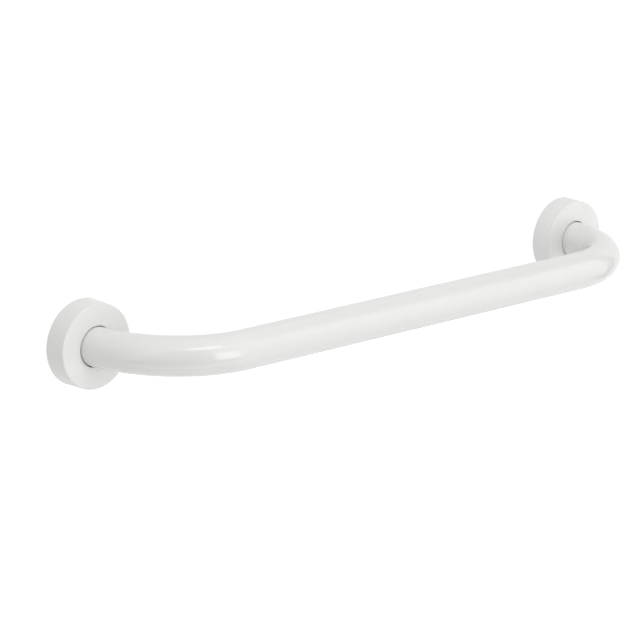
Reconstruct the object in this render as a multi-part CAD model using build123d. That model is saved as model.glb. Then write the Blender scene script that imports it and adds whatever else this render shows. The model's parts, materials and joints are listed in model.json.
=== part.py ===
from build123d import *
import math
import os

# Wall grab bar: one bent steel tube, welded at each end to a screw-on wall flange, with a loose
# round cover over each flange. Millimetres. The origin is on the wall, midway between the flanges.
# +X runs along the bar, +Y points into the wall and +Z is up, so the bar stands out along -Y.

# Grip tube
FIXING_CENTRES = 600.0  # between the axes of the two ends
TUBE_DIAMETER = 34.0  # 33.7 mm steel tube and its coat
TUBE_WALL = 2.0
BAR_STANDOFF = 103.4  # wall to the axis of the straight run
END_STRAIGHT = 14.0  # wall to the start of each bend
TUBE_END_RECESS = 0.5  # keeps the cut ends of the tube off the wall

# Wall flange
FLANGE_THICKNESS = 4.0
FLANGE_CHAMFER = 0.8
FLANGE_BORE_CLEARANCE = 0.1  # radial, round the tube
WELD_LEG = 3.0
WELD_CROWN = 0.3  # how far the bead bulges
SCREW_COUNT = 3
SCREW_HOLE_DIAMETER = 6.5
SCREW_HOLE_CHAMFER = 0.4

# Flange cover
COVER_DIAMETER = 74.6  # measured at the wall
COVER_DEPTH = 20.7  # wall to the front face
COVER_DRAFT = 1.7  # taper of the skirt, in degrees
COVER_WALL = 2.0
COVER_EDGE_RADIUS = 1.0
COVER_INNER_RADIUS = 0.6
COVER_RIM_GAP = 0.3  # between the rim and the wall
HOLE_CLEARANCE = 0.7  # radial, lets the cover follow the bend
HOLE_EDGE_RADIUS = 0.4
SKIRT_CLEARANCE = 1.8  # radial, round the flange, lets the cover swing off it

# Notched ribs that seat the cover on the flange
RIB_COUNT = 3
RIB_THICKNESS = 1.6
RIB_SEAT_WIDTH = 6.0  # how far a rib reaches in over the flange
RIB_SEAT_GAP = 0.3
RIB_FOOT_DROP = 1.2  # how far a foot reaches back beside the flange's rim
RIB_FOOT_GAP = 0.5

# Worked out from the sizes above
tube_radius = TUBE_DIAMETER / 2
bend_radius = BAR_STANDOFF - END_STRAIGHT
flange_radius = COVER_DIAMETER / 2 - COVER_WALL - SKIRT_CLEARANCE
weld_radius = tube_radius + WELD_LEG
screw_circle_radius = (weld_radius + flange_radius) / 2


def grip_tube():
    """One length of tube with a bend near each end, open at both ends."""
    end = FIXING_CENTRES / 2
    path = FilletPolyline(
        (-end, -TUBE_END_RECESS),
        (-end, -BAR_STANDOFF),
        (end, -BAR_STANDOFF),
        (end, -TUBE_END_RECESS),
        radius=bend_radius,
    )
    section = Circle(tube_radius) - Circle(tube_radius - TUBE_WALL)
    return sweep(Plane(origin=path @ 0, z_dir=path % 0) * section, path=path)


def wall_flange():
    """Disc round the tube's end, with screw holes and the bead that welds it to the tube."""
    bore_radius = tube_radius + FLANGE_BORE_CLEARANCE
    outline = Polyline(
        (tube_radius, FLANGE_THICKNESS + WELD_LEG),
        (tube_radius, FLANGE_THICKNESS),
        (bore_radius, FLANGE_THICKNESS),
        (bore_radius, 0),
        (flange_radius, 0),
        (flange_radius, FLANGE_THICKNESS - FLANGE_CHAMFER),
        (flange_radius - FLANGE_CHAMFER, FLANGE_THICKNESS),
        (weld_radius, FLANGE_THICKNESS),
    )
    bead = SagittaArc(outline @ 1, outline @ 0, -WELD_CROWN)
    disc = revolve(Plane.XZ * make_face(outline.edges() + bead.edges()), Axis.Z)
    hole_profile = Polyline(
        (0, 0),
        (SCREW_HOLE_DIAMETER / 2, 0),
        (SCREW_HOLE_DIAMETER / 2, FLANGE_THICKNESS - SCREW_HOLE_CHAMFER),
        (SCREW_HOLE_DIAMETER / 2 + SCREW_HOLE_CHAMFER, FLANGE_THICKNESS),
        (0, FLANGE_THICKNESS),
        close=True,
    )
    hole = revolve(Plane.XZ * make_face(hole_profile), Axis.Z)
    for place in PolarLocations(screw_circle_radius, SCREW_COUNT, start_angle=180):
        disc -= place * hole
    return disc


def skirt_radius(depth):
    """Outer radius of the cover's skirt at a depth from the wall."""
    return COVER_DIAMETER / 2 - depth * math.tan(math.radians(COVER_DRAFT))


def cover_rib():
    """Rib inside the skirt, notched to sit on the flange's front face and rim."""
    face = COVER_DEPTH - COVER_WALL / 2
    seat = FLANGE_THICKNESS + RIB_SEAT_GAP
    foot = FLANGE_THICKNESS - RIB_FOOT_DROP
    foot_radius = flange_radius + RIB_FOOT_GAP
    seat_radius = flange_radius - RIB_SEAT_WIDTH
    outline = Polyline(
        (seat_radius, face),
        (seat_radius, seat),
        (foot_radius, seat),
        (foot_radius, foot),
        (skirt_radius(foot) - COVER_WALL / 2, foot),
        (skirt_radius(face) - COVER_WALL / 2, face),
        close=True,
    )
    return extrude(Plane.XZ * make_face(outline), RIB_THICKNESS / 2, both=True)


def flange_cover():
    """Moulded cup over the flange, with a hole for the tube and ribs inside its skirt."""
    inner_face = COVER_DEPTH - COVER_WALL
    hole_radius = tube_radius + HOLE_CLEARANCE
    front_edge = (skirt_radius(COVER_DEPTH), COVER_DEPTH)
    hole_edge = (hole_radius, COVER_DEPTH)
    inner_corner = (skirt_radius(inner_face) - COVER_WALL, inner_face)
    section = make_face(
        Polyline(
            (skirt_radius(COVER_RIM_GAP), COVER_RIM_GAP),
            front_edge,
            hole_edge,
            (hole_radius, inner_face),
            inner_corner,
            (skirt_radius(COVER_RIM_GAP) - COVER_WALL, COVER_RIM_GAP),
            close=True,
        )
    )
    for corner, radius in (
        (front_edge, COVER_EDGE_RADIUS),
        (hole_edge, HOLE_EDGE_RADIUS),
        (inner_corner, COVER_INNER_RADIUS),
    ):
        section = fillet(section.vertices().sort_by_distance(corner)[0], radius)
    cover = revolve(Plane.XZ * section, Axis.Z)
    for place in PolarLocations(0, RIB_COUNT):
        cover += place * cover_rib()
    return cover


def at_end(piece, side):
    """Turn a flange piece to face the room at one end, with its own X pointing along the bar."""
    end = Plane(
        origin=(side * FIXING_CENTRES / 2, 0, 0),
        x_dir=(-side, 0, 0),
        z_dir=(0, -1, 0),
    )
    return end * piece


os.makedirs("parts", exist_ok=True)
export_step(grip_tube(), "parts/grip_tube.step")
for name, side in (("left", -1), ("right", 1)):
    export_step(at_end(wall_flange(), side), f"parts/{name}_wall_flange.step")
    export_step(at_end(flange_cover(), side), f"parts/{name}_cover.step")
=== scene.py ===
import json
from math import cos, pi, radians, sin, tan

import bmesh
import bpy
from mathutils import Matrix, Vector


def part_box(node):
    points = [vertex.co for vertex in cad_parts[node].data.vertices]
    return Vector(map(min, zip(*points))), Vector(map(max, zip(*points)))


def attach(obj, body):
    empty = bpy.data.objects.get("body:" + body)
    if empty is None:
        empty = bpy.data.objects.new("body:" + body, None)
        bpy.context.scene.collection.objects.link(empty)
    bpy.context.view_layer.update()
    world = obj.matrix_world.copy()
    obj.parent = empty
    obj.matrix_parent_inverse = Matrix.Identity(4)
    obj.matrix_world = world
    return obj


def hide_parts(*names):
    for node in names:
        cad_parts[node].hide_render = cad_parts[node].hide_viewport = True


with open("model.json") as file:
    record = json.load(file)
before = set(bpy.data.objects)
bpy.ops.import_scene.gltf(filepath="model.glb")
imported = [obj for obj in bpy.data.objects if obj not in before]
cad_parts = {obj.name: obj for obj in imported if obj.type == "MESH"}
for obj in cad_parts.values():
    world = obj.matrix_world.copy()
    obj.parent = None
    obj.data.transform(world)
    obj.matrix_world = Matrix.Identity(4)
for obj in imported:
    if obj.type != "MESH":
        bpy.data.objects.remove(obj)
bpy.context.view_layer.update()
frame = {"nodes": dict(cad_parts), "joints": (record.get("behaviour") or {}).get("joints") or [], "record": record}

# Grip tube
# One length of round steel tube, bent near each end so that both ends turn back to the wall.
# It is welded into the flanges, and the outside is then powder coated in one go with them.
mounts = {mount["name"]: mount for mount in frame["record"]["mounts"]}
joints = {joint["name"]: joint for joint in frame["joints"]}
end_x = mounts["right_flange_screws"]["pos_m"][0]
bend_x, bend_y, _ = joints["right_cover_travel"]["pos_m"]  # the centre of the right-hand bend
_, tube_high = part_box("grip_tube")
tube_radius = tube_high.z
tube_end_y = tube_high.y
tube_wall = 0.002
deburred_edge = 0.0003
tube_facets = 128
bend_steps = 64
merge_distance = 1e-6
smooth_angle = radians(30)


def extrude(offset):
    """Extrudes what is selected in edit mode, and moves it."""
    bpy.ops.mesh.extrude_region_move(TRANSFORM_OT_translate={"value": offset})


bpy.ops.object.select_all(action="DESELECT")
bpy.ops.mesh.primitive_circle_add(
    vertices=tube_facets,
    radius=tube_radius,
    location=(-end_x, tube_end_y, 0),
    rotation=(pi / 2, 0, 0),
)
grip_tube = bpy.context.object
grip_tube.name = "coated_grip_tube"
bpy.ops.object.transform_apply()
bpy.ops.object.mode_set(mode="EDIT")
bpy.ops.mesh.select_all(action="SELECT")
extrude((0, bend_y - tube_end_y, 0))
bpy.ops.mesh.spin(steps=bend_steps, angle=-pi / 2, center=(-bend_x, bend_y, 0), axis=(0, 0, 1))
extrude((2 * bend_x, 0, 0))
bpy.ops.mesh.spin(steps=bend_steps, angle=-pi / 2, center=(bend_x, bend_y, 0), axis=(0, 0, 1))
extrude((0, tube_end_y - bend_y, 0))
bpy.ops.mesh.select_all(action="SELECT")
bpy.ops.mesh.remove_doubles(threshold=merge_distance)
bpy.ops.mesh.normals_make_consistent(inside=False)
bpy.ops.object.mode_set(mode="OBJECT")


def pick(piece):
    """Leaves a piece active and the only one selected."""
    bpy.ops.object.select_all(action="DESELECT")
    piece.select_set(True)
    bpy.context.view_layer.objects.active = piece


def apply_modifier(piece, kind, **settings):
    """Adds a modifier to a piece and applies it. The piece is left picked."""
    pick(piece)
    modifier = piece.modifiers.new(kind.title(), kind)
    for name, value in settings.items():
        setattr(modifier, name, value)
    bpy.ops.object.modifier_apply(modifier=modifier.name)


apply_modifier(grip_tube, "SOLIDIFY", thickness=tube_wall, offset=-1, material_offset=1)
apply_modifier(grip_tube, "BEVEL", width=deburred_edge, segments=2, limit_method="ANGLE")
bpy.ops.object.shade_smooth_by_angle(angle=smooth_angle)


def linear(colour):
    """An sRGB hex colour as linear red, green, blue and alpha."""
    channels = [int(colour[i : i + 2], 16) / 255 for i in (1, 3, 5)]
    return [c / 12.92 if c <= 0.04045 else ((c + 0.055) / 1.055) ** 2.4 for c in channels] + [1]


def add_node(tree, kind, sockets, **settings):
    """Adds a node with its settings; a socket takes a value, or the output that feeds it."""
    node = tree.nodes.new(kind)
    for name, value in settings.items():
        setattr(node, name, value)
    for name, value in sockets.items():
        if isinstance(value, bpy.types.NodeSocket):
            tree.links.new(value, node.inputs[name])
        else:
            node.inputs[name].default_value = value
    return node


# Polyester powder coat, sprayed dry on the steel and baked. It flows out to a glossy white film
# with a faint orange peel that softens the edges of reflections, and a trace of cloudiness.
coat_white = "#EDEDEB"
coat_cloud_white = "#F0F0EE"
coat_roughness = 0.08
coat_cloud_roughness = 0.11
cloud_size = 0.030
peel_size = 0.0028
peel_height = 0.00007
noise_low, noise_high = 0.3, 0.7  # most of the noise pattern's values lie between these

powder_coat = bpy.data.materials.new("white_polyester_powder_coat_baked")
powder_coat.use_nodes = True
tree = powder_coat.node_tree
shader = tree.nodes["Principled BSDF"]
shader.inputs["IOR"].default_value = 1.5
place = add_node(tree, "ShaderNodeTexCoord", {}).outputs["Object"]
cloud = add_node(
    tree, "ShaderNodeTexNoise", {"Vector": place, "Scale": 1 / cloud_size, "Detail": 2.0}
)
tint = add_node(
    tree,
    "ShaderNodeMix",
    {"Factor": cloud.outputs["Fac"], "A": linear(coat_white), "B": linear(coat_cloud_white)},
    data_type="RGBA",
)
tree.links.new(tint.outputs["Result"], shader.inputs["Base Color"])
gloss = add_node(
    tree,
    "ShaderNodeMapRange",
    {
        "Value": cloud.outputs["Fac"],
        "From Min": noise_low,
        "From Max": noise_high,
        "To Min": coat_roughness,
        "To Max": coat_cloud_roughness,
    },
)
tree.links.new(gloss.outputs["Result"], shader.inputs["Roughness"])
peel = add_node(
    tree, "ShaderNodeTexNoise", {"Vector": place, "Scale": 1 / peel_size, "Detail": 1.0}
)
bump = add_node(tree, "ShaderNodeBump", {"Height": peel.outputs["Fac"], "Distance": peel_height})
tree.links.new(bump.outputs["Normal"], shader.inputs["Normal"])

# Drawn mild steel, left bare inside the tube: dull grey with faint brown staining. The spray drifts
# a little way in at the open ends and thins out in an uneven edge.
steel_grey = "#8E8C88"
steel_stain_brown = "#6F6862"
steel_roughness = 0.5
stain_size = 0.006
spray_unevenness = 0.020
spray_gone_y = -0.018  # both before the unevenness is added
spray_solid_y = 0.004

bare_steel = bpy.data.materials.new("mild_steel_drawn")
bare_steel.use_nodes = True
tree = bare_steel.node_tree
shader = tree.nodes["Principled BSDF"]
shader.inputs["Roughness"].default_value = steel_roughness
place = add_node(tree, "ShaderNodeTexCoord", {}).outputs["Object"]
stain = add_node(
    tree, "ShaderNodeTexNoise", {"Vector": place, "Scale": 1 / stain_size, "Detail": 4.0}
)
tint = add_node(
    tree,
    "ShaderNodeMix",
    {"Factor": stain.outputs["Fac"], "A": linear(steel_grey), "B": linear(steel_stain_brown)},
    data_type="RGBA",
)
depth = add_node(tree, "ShaderNodeSeparateXYZ", {"Vector": place}).outputs["Y"]
ragged_depth = add_node(
    tree,
    "ShaderNodeMath",
    {0: stain.outputs["Fac"], 1: spray_unevenness, 2: depth},
    operation="MULTIPLY_ADD",
)
overspray = add_node(
    tree,
    "ShaderNodeMapRange",
    {
        "Value": ragged_depth.outputs["Value"],
        "From Min": spray_gone_y,
        "From Max": spray_solid_y,
    },
)
dusted = add_node(
    tree,
    "ShaderNodeMix",
    {
        "Factor": overspray.outputs["Result"],
        "A": tint.outputs["Result"],
        "B": linear(coat_white),
    },
    data_type="RGBA",
)
tree.links.new(dusted.outputs["Result"], shader.inputs["Base Color"])
bared = add_node(
    tree, "ShaderNodeMath", {0: 1.0, 1: overspray.outputs["Result"]}, operation="SUBTRACT"
)
tree.links.new(bared.outputs["Value"], shader.inputs["Metallic"])

grip_tube.data.materials.append(powder_coat)
grip_tube.data.materials.append(bare_steel)
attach(grip_tube, "bar")
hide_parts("grip_tube")

# Wall flanges
# Steel discs with three screw holes, one round each end of the tube. They are welded to it, and
# are coated with it.
for name in ("left_wall_flange", "right_wall_flange"):
    flange = frame["nodes"][name]
    flange.data.materials.clear()
    flange.data.materials.append(powder_coat)

# Weld beads
# The fillet weld between each flange and the tube, laid by hand as a ring of overlapping ripples.
# The coat flows over them and softens the valleys.
left_end = (-end_x, 0, 0)
flange_thickness = 0.004
weld_leg = 0.003
ripple_count = 52
ripple_half_length = 0.0017
ripple_half_width = 0.0024
ripple_half_height = 0.0009
ripple_sink = 0.0003
bead_radius = tube_radius + weld_leg / 2 - ripple_sink * cos(pi / 4)
bead_depth = flange_thickness + weld_leg / 2 - ripple_sink * cos(pi / 4)
bead_voxel = 0.0003
softening_passes = 3


def ring_of_copies(piece, count):
    """Repeats a piece's mesh evenly round the axis of the bar's left-hand end."""
    pick(piece)
    bpy.ops.object.mode_set(mode="EDIT")
    bpy.ops.mesh.select_all(action="SELECT")
    bpy.ops.mesh.spin(
        steps=count - 1,
        dupli=True,
        angle=2 * pi * (count - 1) / count,
        center=left_end,
        axis=(0, 1, 0),
    )
    bpy.ops.object.mode_set(mode="OBJECT")


bpy.ops.object.select_all(action="DESELECT")
bpy.ops.mesh.primitive_uv_sphere_add(
    segments=24,
    ring_count=16,
    radius=1,
    location=(-end_x + bead_radius, -bead_depth, 0),
    rotation=(0, 0, -pi / 4),
    scale=(ripple_half_height, ripple_half_width, ripple_half_length),
)
weld_bead = bpy.context.object
weld_bead.name = "left_weld_bead"
bpy.ops.object.transform_apply()
ring_of_copies(weld_bead, ripple_count)
apply_modifier(weld_bead, "REMESH", mode="VOXEL", voxel_size=bead_voxel)
apply_modifier(weld_bead, "SMOOTH", factor=0.5, iterations=softening_passes)
bpy.ops.object.shade_smooth()
weld_bead.data.materials.append(powder_coat)


def turned_copy(piece, name):
    """A copy with its own mesh at the other end of the bar, turned half round the bar's middle."""
    pick(piece)
    bpy.ops.object.duplicate(linked=False)
    copy = bpy.context.object
    copy.name = name
    bpy.ops.transform.rotate(value=pi, orient_axis="Y", center_override=(0, 0, 0))
    bpy.ops.object.transform_apply()
    return copy


for bead in (weld_bead, turned_copy(weld_bead, "right_weld_bead")):
    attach(bead, "bar")

# Flange covers
# Cups moulded in white ABS, loose on the tube, that hide the flanges and their screws. Each has a
# tapered skirt and, inside it, three notched ribs that seat it on the flange.
cover_low, cover_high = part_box("left_cover")
rim_y = cover_high.y
front_y = cover_low.y
rim_radius = cover_high.z
cover_wall = 0.002
cover_draft = radians(1.7)
front_radius = rim_radius - (rim_y - front_y) * tan(cover_draft)
hole_clearance = 0.0007
hole_radius = tube_radius + hole_clearance
cover_facets = 192


def narrow(start_radius, end_radius):
    """Draws the selected ring in towards the cover's axis."""
    ratio = end_radius / start_radius
    bpy.ops.transform.resize(value=(ratio, 1, ratio), center_override=left_end)


bpy.ops.object.select_all(action="DESELECT")
bpy.ops.mesh.primitive_circle_add(
    vertices=cover_facets,
    radius=rim_radius,
    location=(-end_x, rim_y, 0),
    rotation=(pi / 2, 0, 0),
)
cover = bpy.context.object
cover.name = "moulded_left_cover"
bpy.ops.object.transform_apply()
bpy.ops.object.mode_set(mode="EDIT")
bpy.ops.mesh.select_all(action="SELECT")
extrude((0, front_y - rim_y, 0))
narrow(rim_radius, front_radius)
extrude((0, 0, 0))
narrow(front_radius, hole_radius)
bpy.ops.mesh.select_all(action="SELECT")
bpy.ops.mesh.normals_make_consistent(inside=False)
bpy.ops.object.mode_set(mode="OBJECT")
apply_modifier(cover, "SOLIDIFY", thickness=cover_wall, offset=-1, use_even_offset=True)

# The rim is cut square to the wall, and the edges get the radii that the mould gave them.
inner_y = front_y + cover_wall
inner_radius = front_radius + cover_wall * tan(cover_draft) - cover_wall / cos(cover_draft)
front_rounding = 0.001
inner_rounding = 0.0006
hole_front_rounding = 0.0004
hole_back_rounding = 0.0002
rim_rounding = 0.0003
nearby = 1e-5  # a corner counts as being at a place when it is as near as this


def select_edges(piece, wanted):
    """Leaves selected, in edit mode, the edges of the active piece whose ends are both wanted."""
    bpy.ops.object.mode_set(mode="EDIT")
    bpy.ops.mesh.select_mode(type="EDGE")
    bpy.ops.mesh.select_all(action="DESELECT")
    shape = bmesh.from_edit_mesh(piece.data)
    for edge in shape.edges:
        if all(wanted(corner.co) for corner in edge.verts):
            edge.select_set(True)
    bmesh.update_edit_mesh(piece.data)


def select_ring(piece, radius, y):
    """Leaves selected the edges that run round the cover's axis at a radius and a depth."""
    axis = Vector(left_end)
    select_edges(
        piece,
        lambda corner: abs(corner.y - y) < nearby
        and abs((corner - axis).xz.length - radius) < 3 * nearby,
    )


select_edges(cover, lambda corner: corner.y > rim_y - nearby)
bpy.ops.transform.resize(value=(1, 0, 1), center_override=(-end_x, rim_y, 0))
for radius, y, rounding, segments in (
    (front_radius, front_y, front_rounding, 6),
    (hole_radius, front_y, hole_front_rounding, 4),
    (inner_radius, inner_y, inner_rounding, 4),
    (hole_radius, inner_y, hole_back_rounding, 2),
    (rim_radius, rim_y, rim_rounding, 3),
    (rim_radius - cover_wall, rim_y, rim_rounding, 3),
):
    select_ring(cover, radius, y)
    bpy.ops.mesh.bevel(offset=rounding, segments=segments, affect="EDGES")
bpy.ops.object.mode_set(mode="OBJECT")

# A rib is a plate with a foot that reaches back beside the flange's rim.
rib_count = 3
rib_thickness = 0.0016
rib_inner_radius = 0.0275
rib_outer_radius = 0.0357
rib_foot_radius = 0.034
rib_foot_y = -0.0028
rib_seat_y = -0.0043
rib_front_y = -0.0197
rib_edge = 0.00025
rib_foot_x = -end_x + rib_foot_radius


def rectangle(name, left, right, low, top, z):
    """A flat sheet in X and Y, between four edges."""
    bpy.ops.object.select_all(action="DESELECT")
    bpy.ops.mesh.primitive_plane_add(size=1, location=((left + right) / 2, (low + top) / 2, z))
    sheet = bpy.context.object
    sheet.name = name
    bpy.ops.transform.resize(value=(right - left, top - low, 1))
    bpy.ops.object.transform_apply()
    return sheet


rib = rectangle(
    "cover_rib",
    -end_x + rib_inner_radius,
    -end_x + rib_outer_radius,
    rib_front_y,
    rib_seat_y,
    -rib_thickness / 2,
)
bpy.ops.object.mode_set(mode="EDIT")
bpy.ops.mesh.select_all(action="SELECT")
bpy.ops.mesh.bisect(plane_co=(rib_foot_x, 0, 0), plane_no=(1, 0, 0))
select_edges(
    rib, lambda corner: corner.y > rib_seat_y - nearby and corner.x > rib_foot_x - nearby
)
extrude((0, rib_foot_y - rib_seat_y, 0))
bpy.ops.mesh.select_all(action="SELECT")
extrude((0, 0, rib_thickness))
bpy.ops.mesh.select_all(action="SELECT")
bpy.ops.mesh.normals_make_consistent(inside=False)
bpy.ops.object.mode_set(mode="OBJECT")
apply_modifier(rib, "BEVEL", width=rib_edge, segments=2, limit_method="ANGLE")
ring_of_copies(rib, rib_count)
apply_modifier(cover, "BOOLEAN", operation="UNION", object=rib, solver="EXACT")
bpy.data.objects.remove(rib)

# Ejector pins pushed the moulding out of its mould, and left three round marks between the ribs.
pin_count = 3
pin_radius = 0.003
pin_mark_depth = 0.0002
pin_circle_radius = 0.026
bpy.ops.object.select_all(action="DESELECT")
bpy.ops.mesh.primitive_cylinder_add(
    vertices=48,
    radius=pin_radius,
    depth=2 * pin_mark_depth,
    location=(-end_x - pin_circle_radius, inner_y, 0),
    rotation=(pi / 2, 0, 0),
)
pins = bpy.context.object
bpy.ops.object.transform_apply()
ring_of_copies(pins, pin_count)
apply_modifier(cover, "BOOLEAN", operation="DIFFERENCE", object=pins, solver="EXACT")
bpy.data.objects.remove(pins)
bpy.ops.object.shade_smooth_by_angle(angle=smooth_angle)

# ABS, injection moulded in a polished mould: an even white with a soft gloss. The melt leaves
# slightly duller patches where it flowed, and a fine grain that softens the reflections. The grain
# is drawn coarser than it is, so that it shows.
abs_white = "#F0F0EE"
abs_flow_white = "#F3F3F1"
abs_roughness = 0.2
abs_flow_roughness = 0.26
flow_size = 0.018
grain_size = 0.0012
grain_height = 0.00003

abs_moulding = bpy.data.materials.new("white_abs_injection_moulded")
abs_moulding.use_nodes = True
tree = abs_moulding.node_tree
shader = tree.nodes["Principled BSDF"]
shader.inputs["IOR"].default_value = 1.53
place = add_node(tree, "ShaderNodeTexCoord", {}).outputs["Object"]
flow = add_node(
    tree, "ShaderNodeTexNoise", {"Vector": place, "Scale": 1 / flow_size, "Detail": 2.0}
)
tint = add_node(
    tree,
    "ShaderNodeMix",
    {"Factor": flow.outputs["Fac"], "A": linear(abs_white), "B": linear(abs_flow_white)},
    data_type="RGBA",
)
tree.links.new(tint.outputs["Result"], shader.inputs["Base Color"])
gloss = add_node(
    tree,
    "ShaderNodeMapRange",
    {
        "Value": flow.outputs["Fac"],
        "From Min": noise_low,
        "From Max": noise_high,
        "To Min": abs_roughness,
        "To Max": abs_flow_roughness,
    },
)
tree.links.new(gloss.outputs["Result"], shader.inputs["Roughness"])
grain = add_node(
    tree, "ShaderNodeTexNoise", {"Vector": place, "Scale": 1 / grain_size, "Detail": 2.0}
)
bump = add_node(
    tree, "ShaderNodeBump", {"Height": grain.outputs["Fac"], "Distance": grain_height}
)
tree.links.new(bump.outputs["Normal"], shader.inputs["Normal"])

cover.data.materials.clear()
cover.data.materials.append(abs_moulding)
right_cover = turned_copy(cover, "moulded_right_cover")
for piece, node in ((cover, "left_cover"), (right_cover, "right_cover")):
    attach(piece, node)
    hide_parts(node)

# Floor
# A plain studio floor in matt white paint, as far below the bar as the floor of a bathroom would
# be. It glows a little for the camera and in reflections, so that it comes out as pure white there.
floor_z = -1.0
floor_half_width = 40
floor_white = "#F4F4F4"
floor_glow = 0.53
floor = rectangle(
    "studio_floor",
    -floor_half_width,
    floor_half_width,
    -floor_half_width,
    floor_half_width,
    floor_z,
)
floor_paint = bpy.data.materials.new("white_floor_paint_matt")
floor_paint.use_nodes = True
tree = floor_paint.node_tree
tree.nodes.remove(tree.nodes["Principled BSDF"])
matt = add_node(tree, "ShaderNodeBsdfDiffuse", {"Color": linear(floor_white)})


def seen_rays(tree):
    """1 for the rays that show a background: straight to the camera, mirrored or through glass."""
    path = add_node(tree, "ShaderNodeLightPath", {})
    most = path.outputs["Is Camera Ray"]
    for name in ("Is Glossy Ray", "Is Transmission Ray"):
        pair = add_node(
            tree, "ShaderNodeMath", {0: most, 1: path.outputs[name]}, operation="MAXIMUM"
        )
        most = pair.outputs["Value"]
    return most


lift = add_node(tree, "ShaderNodeMath", {0: seen_rays(tree), 1: floor_glow}, operation="MULTIPLY")
glow = add_node(tree, "ShaderNodeEmission", {"Strength": lift.outputs["Value"]})
both = add_node(
    tree, "ShaderNodeAddShader", {0: matt.outputs["BSDF"], 1: glow.outputs["Emission"]}
)
tree.links.new(both.outputs["Shader"], tree.nodes["Material Output"].inputs["Surface"])
floor.data.materials.append(floor_paint)

# Studio light
# White walls, brighter on the left, with a tall softbox to the right, one in front, and a strip and
# a bounce from the ceiling above. Their strengths give the bar the tones of the photograph.
left_wall_level = 0.80
right_wall_level = 0.49
world = bpy.data.worlds.new("white_studio")
bpy.context.scene.world = world
world.use_nodes = True
tree = world.node_tree
sky = tree.nodes["Background"]
sky.inputs["Color"].default_value = linear("#FFFFFF")
direction = add_node(tree, "ShaderNodeTexCoord", {}).outputs["Generated"]
sideways = add_node(tree, "ShaderNodeSeparateXYZ", {"Vector": direction}).outputs["X"]
wall_level = add_node(
    tree,
    "ShaderNodeMapRange",
    {
        "Value": sideways,
        "From Min": -1.0,
        "From Max": 0.0,
        "To Min": left_wall_level,
        "To Max": right_wall_level,
    },
)
shown_level = add_node(
    tree, "ShaderNodeMix", {"Factor": seen_rays(tree), "A": wall_level.outputs["Result"], "B": 1.0}
)
tree.links.new(shown_level.outputs["Result"], sky.inputs["Strength"])


def softbox(name, centre, facing, width, height, radiance):
    """A rectangular area light that shines from its centre towards a point."""
    light = bpy.data.lights.new(name, "AREA")
    light.shape = "RECTANGLE"
    light.size = width
    light.size_y = height
    light.energy = radiance * pi * width * height
    lamp = bpy.data.objects.new(name, light)
    lamp.location = centre
    lamp.rotation_euler = (Vector(facing) - Vector(centre)).to_track_quat("-Z", "Y").to_euler()
    bpy.context.scene.collection.objects.link(lamp)
    return lamp


left_bend = (-0.255, -0.105, 0.011)  # the outside of the bend, where the lights are aimed
softbox(
    "tall_softbox",
    centre=(2.754, -1.749, 0.715),
    facing=(1.888, -1.249, 0.715),
    width=2.14,
    height=3.29,
    radiance=0.40,
)
softbox(
    "front_softbox",
    centre=(0.24, -3.06, 0.12),
    facing=left_bend,
    width=1.27,
    height=1.95,
    radiance=2.4,
)
softbox(
    "high_strip",
    centre=(-0.294, -1.001, 1.18),
    facing=left_bend,
    width=0.74,
    height=0.32,
    radiance=3.1,
)
ceiling_bounce = softbox(
    "ceiling_bounce",
    centre=(0.0, -0.5, 2.2),
    facing=(0.0, -0.1, 0.0),
    width=1.8,
    height=1.8,
    radiance=1.0,
)
ceiling_bounce.visible_glossy = False

# Grey frame
# An upright of dark grey card with an arm at its foot, evenly lit, beside and under the tall softbox.
# Only its reflection is wanted: the thin dark line round the highlight at the right-hand bend.
upright_inner = -0.02
upright_outer = 0.401
upright_low = -0.925
upright_top = 1.33
arm_end = -0.375
arm_top = -0.635
grey_frame_azimuth = radians(75)
grey_frame_place = (1.592, -0.475, 0.0)


def set_down(card, turn, place):
    """Turns a card, puts it in its place and applies both to its mesh."""
    pick(card)
    card.rotation_euler = turn
    card.location = place
    bpy.ops.object.transform_apply()


def evenly_lit(name, colour):
    """Card under even light of its own, one flat tone in a reflection."""
    material = bpy.data.materials.new(name)
    material.use_nodes = True
    tree = material.node_tree
    tree.nodes.remove(tree.nodes["Principled BSDF"])
    glow = add_node(tree, "ShaderNodeEmission", {"Color": linear(colour)})
    tree.links.new(glow.outputs["Emission"], tree.nodes["Material Output"].inputs["Surface"])
    return material


def show_only_in_reflections(card, material):
    """Gives a card its material, and hides it from everything but reflections."""
    card.data.materials.append(material)
    card.visible_camera = False
    card.visible_diffuse = False
    card.visible_shadow = False


grey_frame = rectangle("grey_frame", upright_inner, upright_outer, upright_low, upright_top, 0)
bpy.ops.object.mode_set(mode="EDIT")
bpy.ops.mesh.select_all(action="SELECT")
bpy.ops.mesh.bisect(plane_co=(0, arm_top, 0), plane_no=(0, 1, 0))
select_edges(
    grey_frame, lambda corner: corner.y < arm_top + nearby and corner.x < upright_inner + nearby
)
extrude((arm_end - upright_inner, 0, 0))
bpy.ops.object.mode_set(mode="OBJECT")
set_down(grey_frame, (pi / 2, 0, grey_frame_azimuth), grey_frame_place)
dark_grey_card = evenly_lit("dark_grey_card_evenly_lit", "#A7A7A7")
show_only_in_reflections(grey_frame, dark_grey_card)

# Felt curtain
# Black felt hung behind the camera and drawn aside on the left, its foot laid forward on the floor.
# Only its reflection is wanted: the darker side of the left-hand bend, below the bright streak.
just_above_floor = floor_z + 0.01
curtain_distance = 3.2
curtain_width = 5.86
curtain_top = 3.8
curtain_foot_end = 1.0
curtain_drawn_to = 0.71
curtain_slant = 0.45
curtain_azimuth = radians(-45.5)


def upright_card(name, width, low, top, distance):
    """A card on edge that faces the wall from a distance, between a low and a top edge."""
    card = rectangle(name, -width / 2, width / 2, low, top, 0)
    set_down(card, (pi / 2, 0, 0), (0, -distance, 0))
    return card


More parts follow.
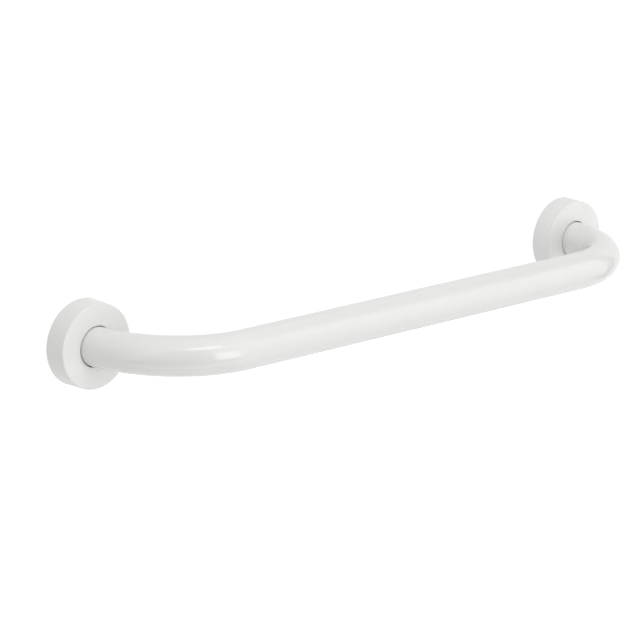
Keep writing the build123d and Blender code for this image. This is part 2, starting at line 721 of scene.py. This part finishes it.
curtain = upright_card(
    "felt_curtain", curtain_width, just_above_floor, curtain_top, curtain_distance
)
bpy.ops.object.mode_set(mode="EDIT")
bpy.ops.mesh.select_all(action="SELECT")
bpy.ops.mesh.bisect(
    plane_co=(curtain_drawn_to, -curtain_distance, curtain_top),
    plane_no=(-1, 0, curtain_slant),
    clear_outer=True,
)
select_edges(curtain, lambda corner: corner.z < just_above_floor + nearby)
extrude((0, curtain_distance - curtain_foot_end, 0))
bpy.ops.object.mode_set(mode="OBJECT")
set_down(curtain, (0, 0, curtain_azimuth), (left_bend[0], left_bend[1], 0))
felt = bpy.data.materials.new("black_felt")
felt.use_nodes = True
shader = felt.node_tree.nodes["Principled BSDF"]
shader.inputs["Base Color"].default_value = linear("#141414")
shader.inputs["Roughness"].default_value = 1.0
show_only_in_reflections(curtain, felt)

# High card
# A dark grey card, evenly lit, hung above the tall softbox. Only its reflection is wanted: the
# duller band along the top of the straight run.
high_card_distance = 2.2
high_card_width = 1.9
high_card_low = 1.5
high_card_top = 2.6
high_card_azimuth = radians(80.5)
high_card = upright_card(
    "high_card", high_card_width, high_card_low, high_card_top, high_card_distance
)
set_down(high_card, (0, 0, high_card_azimuth), (0, left_bend[1], 0))
show_only_in_reflections(high_card, dark_grey_card)

# Low card
# A white card, evenly lit, laid on the floor behind the bar. Only its reflection is wanted: it
# keeps the lower edge of the straight run from fading into the background.
low_card_near = 0.85
low_card_far = 2.2
low_card_left = -1.5
low_card_right = 0.7
low_card_azimuth = radians(-45)
low_card = rectangle("low_card", low_card_left, low_card_right, low_card_near, low_card_far, 0)
set_down(low_card, (0, 0, low_card_azimuth), (0, 0, just_above_floor))
show_only_in_reflections(low_card, evenly_lit("white_card_evenly_lit", "#F8F8F8"))

# Camera
# A long lens from the left and a little above, held a little off level, as in the photograph. Its
# place was worked out from the bar's outlines there, together with the bar's proportions.
azimuth = radians(-44.98)
elevation = radians(15.25)
roll = radians(1.65)
distance = 2.725
target = Vector((-0.0620, -0.0420, -0.01343))
focal_pixels = 3119
picture_pixels = 640
back = Vector((sin(azimuth) * cos(elevation), -cos(azimuth) * cos(elevation), sin(elevation)))
right = back.cross(Vector((0, 0, -1))).normalized()
up = back.cross(right)
turned_right = cos(roll) * right + sin(roll) * up
turned_up = cos(roll) * up - sin(roll) * right
lens = bpy.data.cameras.new("camera")
lens.sensor_width = 36
lens.lens = focal_pixels * lens.sensor_width / picture_pixels
camera = bpy.data.objects.new("camera", lens)
camera.matrix_world = Matrix.Translation(target + back * distance) @ Matrix(
    (turned_right, turned_up, back)
).transposed().to_4x4()
bpy.context.scene.collection.objects.link(camera)
bpy.context.scene.camera = camera
bpy.context.scene.view_settings.view_transform = "Standard"
